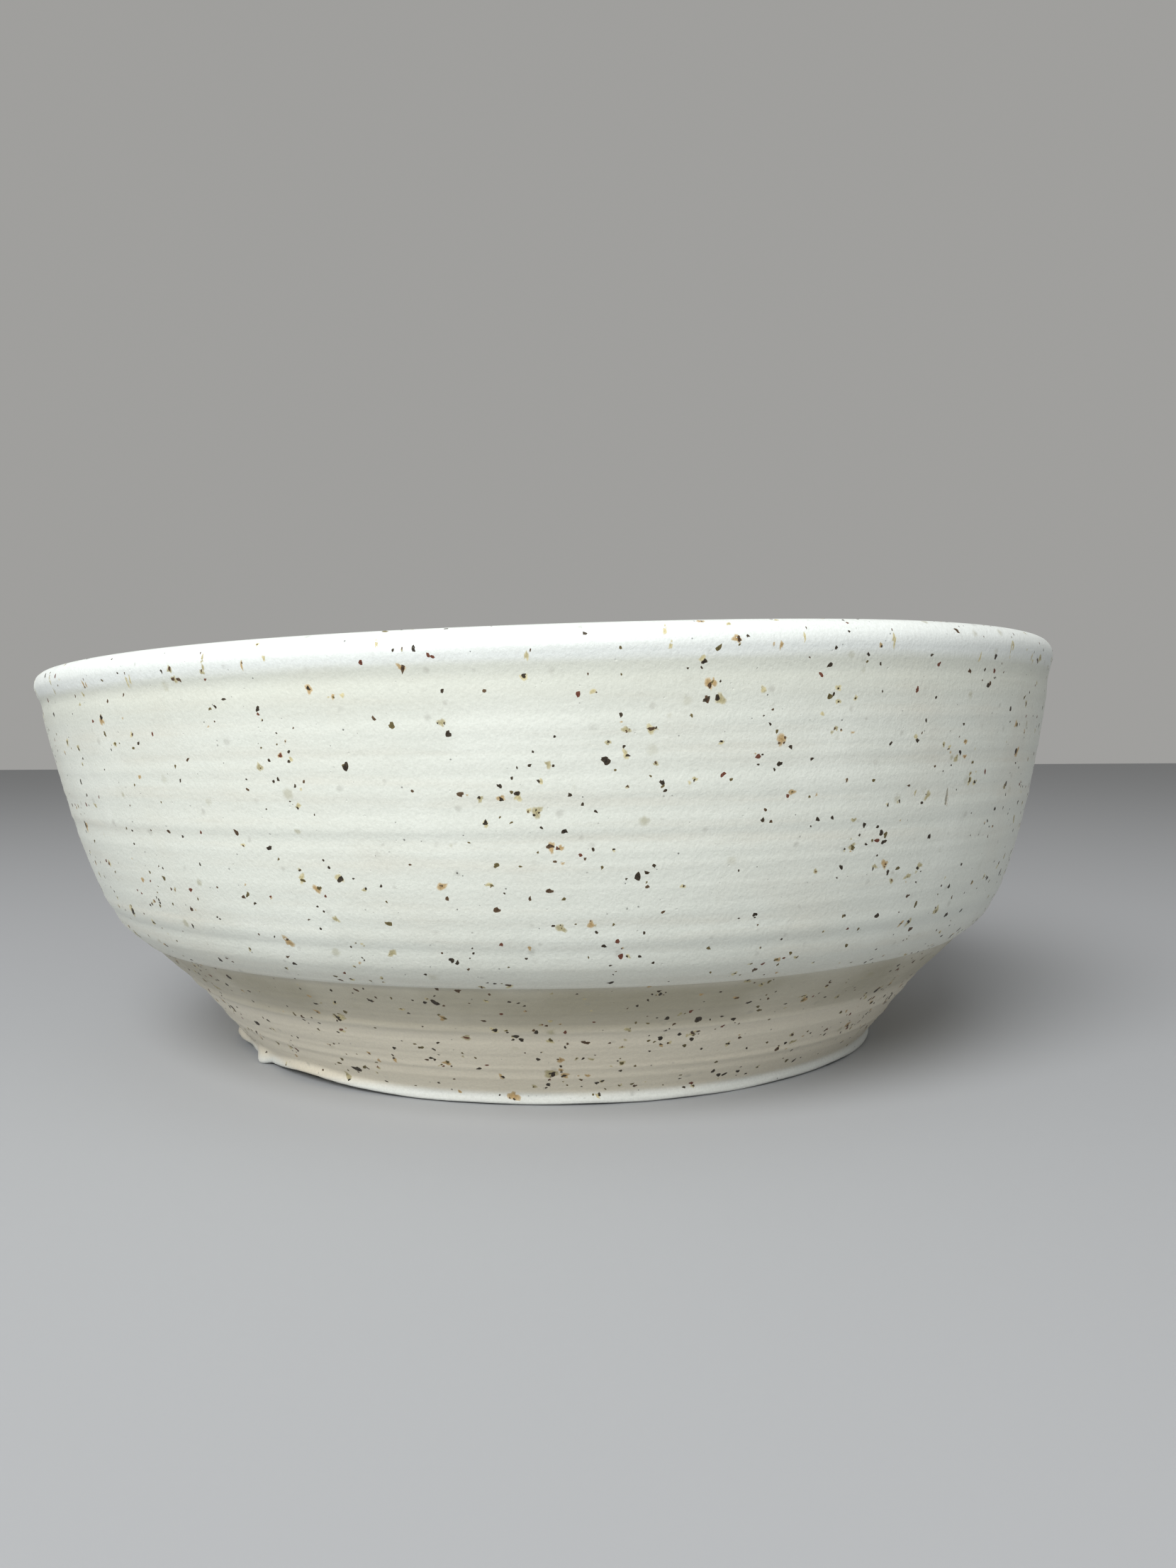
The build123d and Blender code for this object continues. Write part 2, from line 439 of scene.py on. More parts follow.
slot_edge = slot_outline()
mouth_left, mouth_right = slot_edge[0, 0], slot_edge[-1, 0]
MOUTH_GAP = 0.4  # the least room between the slot's edge and the next column of the rim
rim_line = np.column_stack([column_u, np.full(COLUMNS, WALL_RISE)])
left_rim = rim_line[column_u < mouth_left - MOUTH_GAP]
right_rim = rim_line[column_u > mouth_right + MOUTH_GAP]
outline = np.vstack([left_rim, slot_edge, right_rim])

# Inward direction at each outline point, square to the outline, towards the clay
circumference = 2 * math.pi * DOMAIN_RADIUS
ahead = np.roll(outline, -1, axis=0)
behind = np.roll(outline, 1, axis=0)
ahead[-1, 0] += circumference
behind[0, 0] -= circumference
direction = ahead - behind
direction /= np.linalg.norm(direction, axis=1)[:, None]
inward = np.column_stack([direction[:, 1], -direction[:, 0]])

# Section of the rounded edge, from the outside to the inside. Each row has its side of the wall,
# then either its setback from the edge or its angle round the rounding.
ROLL_STEPS = 8
quarter = [math.pi / 2 * (1 - k / ROLL_STEPS) for k in range(ROLL_STEPS + 1)]
section = [(1, ROLL_WIDTH, None), (1, (ROLL_WIDTH + EDGE_ROLL) / 2, None)]
section += [(math.sin(a), None, a) for a in quarter]
section += [(-math.sin(a), None, a) for a in quarter[-2::-1]]
section += [(-1, (ROLL_WIDTH + EDGE_ROLL) / 2, None), (-1, ROLL_WIDTH, None)]


def roll_place(setback, angle, depth):
    """Where one row of the rounded edge lies on the wall laid flat."""
    distance = setback if angle is None else EDGE_ROLL - (EDGE_ROLL - depth) * math.cos(angle)
    return outline + inward * distance


def roll_row(side, setback, angle, depth):
    """One row of the rounded edge, along the whole outline."""
    place = roll_place(setback, angle, depth)
    return wall_point(place[:, 0], place[:, 1], side, depth)


roll_rows = [
    skin.add(roll_row(*row, 0.0), roll_row(*row, GLAZE), height_at(roll_place(*row[1:], 0.0)[:, 1]))
    for row in section
]
slot_top_rise = np.interp(DIP_HEIGHT, sheet_middle[:, 1], sheet_rise)
in_slot = (outline[:, 1] + np.roll(outline[:, 1], -1)) / 2 < slot_top_rise
for upper, lower in zip(roll_rows[:-1], roll_rows[1:]):
    for i in range(len(outline)):
        j = (i + 1) % len(outline)
        part = "slot_glaze" if in_slot[i] else "rim_glaze"
        skin.face((upper[i], upper[j], lower[j], lower[i]), part)


# ---------------- the wall, outside and inside
def wall_points(u, rise, side):
    """Adds points of the wall to the skin."""
    points = [wall_point(u, rise, side, depth) for depth in (0.0, GLAZE)]
    return skin.add(*points, height_at(rise))


WINDOW_LEFT, WINDOW_RIGHT = 5.0, 7.0  # how far past the slot's sides the triangles go
LEAST_GAP = 0.45  # share of a row that a free point keeps from the window's border


def wall_side(side, row_step, border, region):
    """Fills one side of the wall between the rounded edge's border and the shoulder.
    Away from the slot it is a plain grid. Round the slot it is triangles.
    Returns the ring of points at the shoulder."""
    top_rise = WALL_RISE - ROLL_WIDTH
    rows = np.linspace(0, top_rise, round(top_rise / row_step) + 1)[:-1]
    slot_right = SLOT_TURN + SLOT_HALF
    in_window = (column_u > mouth_left - WINDOW_LEFT) & (column_u < slot_right + WINDOW_RIGHT)
    first, last = np.flatnonzero(in_window)[[0, -1]]
    grid = np.full((len(rows), COLUMNS), -1)
    border_line = outline + inward * ROLL_WIDTH
    slot_extra = len(outline) - COLUMNS  # how many more points than columns the border has

    outer_columns = np.concatenate([np.arange(last, COLUMNS), np.arange(0, first + 1)])
    grid[:, outer_columns] = wall_points(*np.meshgrid(column_u[outer_columns], rows), side)
    top_row = border[outer_columns + np.where(outer_columns < last, 0, slot_extra)]
    levels = [*grid[:, outer_columns], top_row]
    for lower, upper in zip(levels[:-1], levels[1:]):
        skin.band(upper, lower, region, closed=False)

    # The window: bottom row, right column, border from right to left, left column
    bottom = np.arange(first + 1, last)
    grid[0, bottom] = wall_points(column_u[bottom], np.zeros(len(bottom)), side)
    border_run = range(last + slot_extra, first - 1, -1)
    loop = [(column_u[c], 0.0, grid[0, c]) for c in range(first, last + 1)]
    loop += [(column_u[last], rows[r], grid[r, last]) for r in range(1, len(rows))]
    loop += [(*border_line[k], border[k]) for k in border_run]
    loop += [(column_u[first], rows[r], grid[r, first]) for r in range(len(rows) - 1, 0, -1)]
    polygon = np.array([p[:2] for p in loop])
    numbers = [p[2] for p in loop]

    free_u, free_v = np.meshgrid(column_u[first + 1 : last], rows[1:])
    free = np.column_stack([free_u.ravel(), free_v.ravel()])
    gap = np.min(np.hypot(free[:, :1] - polygon[:, 0], free[:, 1:] - polygon[:, 1]), axis=1)
    free = free[(gap > LEAST_GAP * row_step) & within(free, polygon)]
    numbers += list(wall_points(free[:, 0], free[:, 1], side))
    flat_points = [Vector(p) for p in np.vstack([polygon, free])]
    found = delaunay_2d_cdt(flat_points, [], [list(range(len(loop)))], 1, 1e-6)
    for triangle in found[2]:
        skin.face([numbers[found[3][c][0]] for c in triangle], region)
    return grid[0]


def within(points, polygon):
    """Which points lie inside a polygon."""
    x, y = points[:, 0][:, None], points[:, 1][:, None]
    x1, y1 = polygon[:, 0], polygon[:, 1]
    x2, y2 = np.roll(x1, -1), np.roll(y1, -1)
    crosses = (y1 > y) != (y2 > y)
    with np.errstate(divide="ignore", invalid="ignore"):
        at = x1 + (y - y1) * (x2 - x1) / (y2 - y1)
    return (np.sum(crosses & (x < at), axis=1) % 2) == 1


outer_ring = wall_side(1, OUTER_ROW, roll_rows[0], "wall_glaze")
inner_ring = wall_side(-1, INNER_ROW, roll_rows[-1], "inner_glaze")
column_angle = column_u / DOMAIN_RADIUS


def curve_ring(curve, s, angles, sink, relief):
    """Adds a ring of the skin off the wall, at distance s along a profile."""
    place = np.full(len(angles), s)
    rings = [curve_point(curve, place, angles, depth, relief) for depth in (sink, GLAZE)]
    return skin.add(*rings, curve.at(s)[1])


# ---------------- band, foot cone and foot bead
shoulder_s = outside.nearest(SHOULDER)
stop_s = outside.nearest(np.array([foot_edge[0], GLAZE_FOOT]))
foot_s = np.linspace(shoulder_s, stop_s, round((shoulder_s - stop_s) / FOOT_ROW) + 1)[1:]
ending = ramp(foot_s, stop_s + GLAZE_FEATHER, stop_s)
ring = outer_ring
seam_rings = {}
for s, end in zip(foot_s, ending):
    sink = GLAZE * GLAZE_LOST * end**2
    level = outside.at(s)[1]
    new = curve_ring(outside, s, column_angle, sink, outer_relief)
    skin.band(ring, new, "foot_glaze")
    ring = new
    if level < FOOT_TOP_HEIGHT and skin.clay_part == "clay_wall":
        seam_rings["wall_outside"], skin.clay_part = ring, "clay_floor"
    if level < RECESS_HEIGHT and skin.clay_part == "clay_floor":
        seam_rings["foot_outside"], skin.clay_part = ring, "foot_ring"

# ---------------- bare clay underneath
land_edge = outside.at(stop_s)[0] - GLAZE * math.cos(CONE_FLARE)
ring_inner = foot_edge[0] - RING_WIDTH
under = [
    (land_edge - 0.05, 0.22), (land_edge - 0.25, 0.08), (land_edge - 0.6, 0.0),
    (land_edge - 2.5, 0.0), ((land_edge + ring_inner) / 2, 0.0), (ring_inner + 2.0, 0.0),
    (ring_inner + 0.7, 0.0), (ring_inner + 0.3, 0.12), (ring_inner + 0.05, 0.4),
    (ring_inner - 0.1, 1.1), (ring_inner - 0.3, 1.8), (ring_inner - 0.9, 2.3),
    (ring_inner - 2.0, RECESS_HEIGHT),
]
TURNED_MARK = 0.05  # size of the turning marks on the bare clay
FOLD_STEP = 0.93  # how far in a ring of half as many points lies


def bare_ring(radius, height, angles, mark=0.0):
    """Adds a ring of bare clay, with a turning mark of that size."""
    lift = mark * np.sin(radius * 2.2 + angles)
    turned = np.column_stack([radius * np.sin(angles), radius * np.cos(angles), height + lift])
    return skin.add(turned, turned)


def bare_rings(ring, places, angles):
    """Bands of bare clay inwards from a ring, through given radii and heights."""
    for radius, height in places:
        new = bare_ring(radius, height, angles, TURNED_MARK if height > 0 else 0.0)
        skin.band(ring, new, "bare")
        ring = new
    return ring


ring = bare_rings(ring, under, column_angle)
seam_rings["foot_inside"], skin.clay_part = ring, "clay_floor"
angles = column_angle
radius = under[-1][0]
while len(ring) > FEWEST:
    angles = angles[0::2]
    radius *= FOLD_STEP
    new = bare_ring(radius, RECESS_HEIGHT, angles)
    skin.halved(ring, new, "bare")
    places = [(r, RECESS_HEIGHT) for r in np.arange(radius - FLOOR_STEP, radius * 0.5, -FLOOR_STEP)]
    ring = bare_rings(new, places, angles)
    radius = places[-1][0]
skin.fan(ring, bare_ring(0.0, RECESS_HEIGHT, np.zeros(1))[0], "bare")

# ---------------- inside sweep and floor
FLOOR_SPIRAL_PITCH = 6.5  # spacing of the spiral that the potter's finger leaves on the floor
FLOOR_SPIRAL = 0.16
NARROW = 0.55  # share of a step that faces may be wide before a ring is halved


def floor_ring(s, angles):
    """A ring of the inside below the wall. Wall relief fades into the floor's spiral groove."""
    radius = inside.at(s)[0]
    on_floor = ramp(radius, floor_radius + 16, floor_radius + 4) * ramp(radius, 0, 5)
    turns = 2 * math.pi * radius / FLOOR_SPIRAL_PITCH + angles

    def relief(angle, height):
        wall_part = inner_relief(angle, height) * ramp(height, FLOOR_HEIGHT, FLOOR_HEIGHT + 14)
        return wall_part + on_floor * FLOOR_SPIRAL * np.sin(turns)

    return curve_ring(inside, s, angles, 0.0, relief)


ring, angles, s = inner_ring, column_angle, inside.nearest(inner_shoulder)
skin.clay_part = "clay_wall"
while s < inside.length - FLOOR_STEP:
    s += FLOOR_STEP
    face_width = inside.at(s)[0] * 2 * math.pi / len(ring)
    halve = face_width < NARROW * FLOOR_STEP and len(ring) > FEWEST
    angles = angles[0::2] if halve else angles
    new = floor_ring(s, angles)
    join = skin.halved if halve else skin.band
    join(ring, new, "inner_glaze")
    ring = new
    if inside.at(s)[1] < FOOT_TOP_HEIGHT and skin.clay_part == "clay_wall":
        seam_rings["wall_inside"], skin.clay_part = ring, "clay_floor"
pole = np.array([[0.0, 0.0, FLOOR_HEIGHT]])
skin.fan(ring, skin.add(pole, pole - [0, 0, GLAZE])[0], "inner_glaze")


# ---------------- pieces
def srgb(red, green, blue):
    """A colour as seen on a screen, 0 to 255, as the renderer's linear colour."""
    shares = (red / 255, green / 255, blue / 255)
    return tuple(v / 12.92 if v <= 0.04045 else ((v + 0.055) / 1.055) ** 2.4 for v in shares)


def mesh_of(name, points, faces):
    """A mesh in metres from points in millimetres."""
    mesh = bpy.data.meshes.new(name)
    mesh.from_pydata((points * MM).tolist(), [], faces)
    mesh.validate()
    return mesh


def turn_outwards(mesh):
    """Turns the faces of a closed mesh to look outwards, and returns its points' normals."""
    work = bmesh.new()
    work.from_mesh(mesh)
    bmesh.ops.recalc_face_normals(work, faces=work.faces)
    work.to_mesh(mesh)
    normals = np.array([v.normal for v in work.verts])
    work.free()
    return normals


front = np.vstack(skin.front)
back = np.vstack(skin.back)
whole = mesh_of("whole_skin", front, skin.faces)
normals = turn_outwards(whole)
faces = [list(polygon.vertices) for polygon in whole.polygons]
bpy.data.meshes.remove(whole)
level = np.concatenate(skin.level)
region_of = np.array(skin.region)
clay_of = np.array(skin.clay)

# The piece that takes each CAD node's place
PIECE_NAMES = {
    "clay_wall": "thrown_wall",
    "clay_floor": "thrown_floor",
    "foot_ring": "turned_foot_ring",
    "wall_glaze": "wall_coat",
    "foot_glaze": "foot_coat",
    "rim_glaze": "lip_coat",
    "slot_glaze": "slot_coat",
    "inner_glaze": "inner_coat",
}


def link(name, mesh):
    piece = bpy.data.objects.new(PIECE_NAMES.get(name, name), mesh)
    bpy.context.scene.collection.objects.link(piece)
    return piece


def renumbered(chosen):
    """The points that some faces use, and the faces with those points' own numbers."""
    used = np.unique([c for f in chosen for c in f])
    own = {int(g): k for k, g in enumerate(used)}
    return used, [[own[c] for c in f] for f in chosen]


def coat(name):
    """A glaze coat: its region of the skin, closed down to the clay."""
    used, top_faces = renumbered([faces[k] for k in np.flatnonzero(region_of == name)])
    count = len(used)
    edges = {(a, b) for f in top_faces for a, b in zip(f, f[1:] + f[:1])}
    rim = [(a, b) for a, b in edges if (b, a) not in edges]
    under_faces = [[c + count for c in reversed(f)] for f in top_faces]
    side_faces = [[b, a, a + count, b + count] for a, b in sorted(rim)]
    points = np.vstack([front[used], back[used]])
    mesh = mesh_of(name, points, top_faces + under_faces + side_faces)
    mesh.shade_smooth()
    both = np.vstack([normals[used], -normals[used]])
    mesh.normals_split_custom_set_from_vertices(both.tolist())
    levels = mesh.attributes.new("level", "FLOAT", "POINT")
    levels.data.foreach_set("value", np.tile(level[used], 2))
    return link(name, mesh)


def clay(name, seams):
    """One zone of the clay, which lies a glaze thickness under the skin, with the flat faces where
    it meets the next zones. Each seam is a pair of rings of points."""
    chosen = [faces[k] for k in np.flatnonzero(clay_of == name)]
    for first, second in seams:
        for i in range(COLUMNS):
            j = (i + 1) % COLUMNS
            chosen.append([int(first[i]), int(first[j]), int(second[j]), int(second[i])])
    used, own_faces = renumbered(chosen)
    mesh = mesh_of(name, back[used], own_faces)
    turn_outwards(mesh)
    mesh.shade_smooth()
    return link(name, mesh)


COATS = ("wall_glaze", "foot_glaze", "rim_glaze", "slot_glaze", "inner_glaze")
pieces = {name: coat(name) for name in COATS}
wall_seam = (seam_rings["wall_outside"], seam_rings["wall_inside"])
foot_seam = (seam_rings["foot_outside"], seam_rings["foot_inside"])
pieces["clay_wall"] = clay("clay_wall", [wall_seam])
pieces["clay_floor"] = clay("clay_floor", [wall_seam, foot_seam])
pieces["foot_ring"] = clay("foot_ring", [foot_seam])


# ---------------- iron spots
BLACK, BROWN, RED, OLIVE_DARK = (22, 17, 15), (70, 50, 35), (100, 44, 34), (92, 84, 48)
OCHRE, TAN, STRAW = (194, 160, 106), (186, 176, 132), (214, 202, 152)

# Kinds of spot, as (share of all, smallest radius, largest radius, how ragged, share that has a
# halo, colours)
SPOT_KINDS = [
    (0.42, 0.14, 0.29, 0.32, 0.08, (BLACK, BLACK, BROWN, OLIVE_DARK)),
    (0.38, 0.24, 0.44, 0.36, 0.33, (BLACK, BLACK, BROWN, OLIVE_DARK)),
    (0.016, 0.48, 0.72, 0.22, 0.30, (BLACK,)),
    (0.07, 0.22, 0.40, 0.30, 0.25, (RED,)),
    (0.085, 0.18, 0.42, 0.40, 0.0, (TAN, OCHRE, STRAW)),
    (0.036, 0.40, 0.95, 0.42, 0.0, (OCHRE, TAN, TAN)),
]
HALOS = (OCHRE, TAN, STRAW, STRAW)

# What the coat is painted from each height up, for the edges of pale spots to melt into. The middle
# one is the painted shade of the belt under the shoulder.
COAT_AND_SHADE_TINTS = ((22.0, (221, 224, 214)), (14.5, (176, 168, 148)), (-5.0, (216, 208, 188)))
PALE_MELTS = 0.85  # how far a pale spot's edge does
DARK_RUSTS = 0.25  # how far a dark spot's edge turns ochre
SPOTS_PER_MM2 = 0.044
FOOT_SPOTS_PER_MM2 = 0.035  # more of them show where the coat is thin
CLUSTER_SPREAD = 1.7
SPOT_LIFT = 0.018  # how far a spot's middle stands up
SPOT_ROOT = 0.08  # how far it reaches into the coat
LARGE, MEDIUM = 0.47, 0.32  # least radius of a spot with 13 corners, and of one with 9
DRIPS = 46  # straw-coloured runs just below the lip
DRIP_LENGTHENED = 1.7
SLOT_CLEAR = 0.3  # angle on both sides of the slot that has no drips
NICK_DEGREES, NICK_RISE = 141.0, 26.5
# Painted shade for the nick's hollow and painted highlight for its lip
NICK_PAINTED_SHADE, NICK_PAINTED_HIGHLIGHT = (172, 174, 164), (238, 240, 234)


def melted(tint, share, height):
    """A spot's colour at a share of its radius, and how much of it is iron. A pale spot melts into
    the coat round it, and a dark one has a rusty edge."""
    if tint in HALOS:
        amount = PALE_MELTS * share**3
        toward = next(coat_and_shade_tint for low, coat_and_shade_tint in COAT_AND_SHADE_TINTS if height > low)
    else:
        amount = DARK_RUSTS * share**3
        toward = OCHRE
    return [a + amount * (b - a) for a, b in zip(tint, toward)], 1 - amount


class SpotField:
    """Iron spots that lie on the skin as low domes with ragged outlines."""

    def __init__(self, seed):
        self.rng = np.random.default_rng(seed)
        self.tree = BVHTree.FromPolygons(front.tolist(), faces)
        self.points, self.normals, self.tints, self.iron, self.faces = [], [], [], [], []
        self.flat, self.owner, self.total = [], [], 0

    def on_skin(self, place):
        """The nearest point of the skin and the smooth normal there."""
        spot, _, face, _ = self.tree.find_nearest(place)
        corners = np.array(faces[face])
        weight = 1 / (np.linalg.norm(front[corners] - np.array(spot), axis=1) + 0.02) ** 2
        smooth = Vector((normals[corners] * weight[:, None]).sum(axis=0)).normalized()
        return spot, smooth

    def spot(self, centre, radius, ragged, tint, lift=SPOT_LIFT, stretch=1.0, upright=False):
        """One spot. Its outline has corners at uneven distances, and its top is a low dome."""
        corners = 13 if radius > LARGE else 9 if radius > MEDIUM else 6
        middle, out = self.on_skin(centre)
        side = Vector((0, 0, 1)).cross(out)
        side = (side if side.length > 0.2 else Vector((1, 0, 0)).cross(out)).normalized()
        up = out.cross(side)
        spin = math.pi / 2 if upright else self.rng.uniform(0, math.pi)
        long_way = math.cos(spin) * side + math.sin(spin) * up
        short_way = out.cross(long_way)
        round_it = 2 * math.pi * np.arange(corners) / corners
        reach = np.ones(corners)
        for lobes, size in ((2, 0.55), (3, 0.5), (4, 0.3)):
            reach += ragged * size * np.sin(lobes * round_it + self.rng.uniform(0, 6.3))
        reach += 0.4 * ragged * self.rng.uniform(-1, 1, corners)
        reach = radius * np.clip(reach, 0.35, 1.7)
        start = len(self.points)
        rings = [(0.0, 1, 1.0), (1.0, corners, 0.1)]  # share of radius, points, share of lift
        if radius > MEDIUM:
            rings.insert(1, (0.7, corners, 0.85))
        for share, count, rise in rings:
            colour, iron = melted(tint, share, middle.z)
            self.tints += [colour] * count
            self.iron += [iron] * count
            for k in range(count):
                a = 2 * math.pi * k / corners
                flat = long_way * (math.cos(a) * stretch) + short_way * (math.sin(a) / stretch)
                place, smooth = self.on_skin(middle + flat * float(share * reach[k]))
                self.points.append(place + smooth * (lift * rise))
                self.normals.append(smooth)
                self.flat.append((share * math.cos(a), share * math.sin(a)))
        self.points.append(middle - out * SPOT_ROOT)
        self.normals.append(-out)
        self.flat.append((0.0, 0.0))
        self.tints.append(tint)
        self.iron.append(1.0)
        base = len(self.points) - 1
        inner, outer = start + 1, start + 1 + corners * (len(rings) - 2)
        for k in range(corners):
            j = (k + 1) % corners
            self.faces.append((start, inner + k, inner + j))
            self.faces.append((base, outer + j, outer + k))
            if outer > inner:
                self.faces.append((inner + k, outer + k, outer + j, inner + j))
        self.owner += [(self.total, base)] * (len(self.faces) - len(self.owner))
        self.total += 1

    def centres(self, regions, per_area):
        """Seeded places spread evenly over some regions of the skin."""
        chosen = np.flatnonzero(np.isin(region_of, regions))
        corner = np.array([front[faces[k][:3]] for k in chosen])
        far = np.array([front[faces[k][-1]] for k in chosen])
        area = np.linalg.norm(np.cross(corner[:, 1] - corner[:, 0], far - corner[:, 0]), axis=1)
        picks = self.rng.choice(len(chosen), round(area.sum() * per_area), p=area / area.sum())
        across, along_face = self.rng.uniform(0, 1, (2, len(picks), 1))
        base = corner[picks, 0]
        return base + across * (corner[picks, 1] - base) + along_face * (far[picks] - base)

    def lay_flat(self, mesh):
        """The map that the colours are baked on: a grid with a square for each spot, which has its
        top on the left and its underside, smaller, on the right."""
        squares = math.ceil(math.sqrt(self.total))
        layer = mesh.uv_layers.new(name="OFBake")
        places = np.empty((len(mesh.loops), 2))
        for face, (owner, base) in zip(mesh.polygons, self.owner):
            underside = base in face.vertices
            centre, size = ((0.84, 0.5), 0.13) if underside else ((0.36, 0.5), 0.31)
            for loop, corner in zip(face.loop_indices, face.vertices):
                across, up = self.flat[corner]
                places[loop] = (
                    (owner % squares + centre[0] + size * across) / squares,
                    (owner // squares + centre[1] + size * up) / squares,
                )
        layer.data.foreach_set("uv", places.ravel())

    def piece(self, name):
        mesh = mesh_of(name, np.array(self.points), self.faces)
        self.lay_flat(mesh)
        mesh.shade_smooth()
        mesh.normals_split_custom_set_from_vertices([tuple(v) for v in self.normals])
        tint = mesh.attributes.new("tint", "FLOAT_COLOR", "POINT")
        colours = [(*srgb(*t), 1.0) for t in self.tints]
        tint.data.foreach_set("color", np.array(colours).ravel())
        mesh.attributes.new("iron", "FLOAT", "POINT").data.foreach_set("value", self.iron)
        return link(name, mesh)


def scatter(field):
    """Fills the field with spots of every kind, some of them in loose clusters."""
    rng = field.rng
    shares = np.array([kind[0] for kind in SPOT_KINDS])
    evenly = field.centres(COATS, SPOTS_PER_MM2)
    for centre in np.vstack([evenly, field.centres(["foot_glaze"], FOOT_SPOTS_PER_MM2)]):
        for member in range(1 + rng.choice([0, 0, 0, 1, 2])):
            kind = SPOT_KINDS[rng.choice(len(SPOT_KINDS), p=shares / shares.sum())]
            place = Vector(centre) + Vector(rng.normal(0, CLUSTER_SPREAD, 3)) * (member > 0)
            if place.z > 1.5:
                one_spot(field, place, *kind[1:])


def one_spot(field, place, low, high, ragged, halo, tints):
    """A spot with what lies round it or on it: a rusty halo, or dark cores on an ochre patch."""
    rng = field.rng
    radius = low + (high - low) * rng.uniform() ** 1.5
    tint = tints[rng.integers(len(tints))]
    stretch = rng.uniform(1.0, 1.3)
    if rng.uniform() < halo:
        around = HALOS[rng.integers(len(HALOS))]
        beside_it = place + Vector(rng.normal(0, 0.5 * radius, 3))
        field.spot(beside_it, radius * rng.uniform(1.2, 1.8), 0.4, around, 0.5 * SPOT_LIFT, stretch)
    field.spot(place, radius, ragged, tint, stretch=stretch)
    if radius > 0.5 and tint in (OCHRE, TAN):
        for _ in range(rng.integers(1, 4)):
            on_it = place + Vector(rng.normal(0, 0.42 * radius, 3))
            core = (BLACK, BROWN)[rng.integers(2)]
            field.spot(on_it, radius * rng.uniform(0.18, 0.38), 0.4, core, 2 * SPOT_LIFT)


def nick(field):
    """A small comma-shaped nick in the coat, on the right front, drawn as two raised spots: painted
    shade for its hollow and painted highlight for its lip.
    """
    place = Vector(wall_point(np.radians(NICK_DEGREES) * DOMAIN_RADIUS, NICK_RISE, 1.0, 0.0))
    field.spot(place, 0.62, 0.30, NICK_PAINTED_SHADE, SPOT_LIFT, 1.8, upright=True)
    beside_it = place + Vector((0.55, 0, -0.5))
    field.spot(beside_it, 0.40, 0.30, NICK_PAINTED_HIGHLIGHT, 2 * SPOT_LIFT, 2.0, upright=True)


def drips(field):
    """Short runs of straw-coloured glaze below the lip, where iron has melted out of the dip."""
    rng = field.rng
    for k in range(DRIPS):
        turn_to = 2 * math.pi * (k + rng.uniform(-0.4, 0.4)) / DRIPS
        if abs(math.remainder(turn_to, 2 * math.pi)) < SLOT_CLEAR:
            continue
        height = HEIGHT - rng.uniform(2.0, 4.4)
        place = Vector(warped(RIM_RADIUS, turn_to, height))
        tint = (STRAW, STRAW, TAN, OCHRE)[rng.integers(4)]
        for _ in range(rng.integers(1, 4)):
            beside_it = place + Vector(rng.normal(0, 0.5, 3))
            radius = rng.uniform(0.28, 0.5)
            field.spot(beside_it, radius, 0.5, tint, SPOT_LIFT, DRIP_LENGTHENED, upright=True)
        if rng.uniform() < 0.6:
            above = place + Vector((0, 0, 0.9))
            field.spot(above, 0.16, 0.3, BROWN, 2 * SPOT_LIFT, 1.5, upright=True)


field = SpotField(2718)
scatter(field)
drips(field)
nick(field)
pieces["iron_spots"] = field.piece("iron_spots")


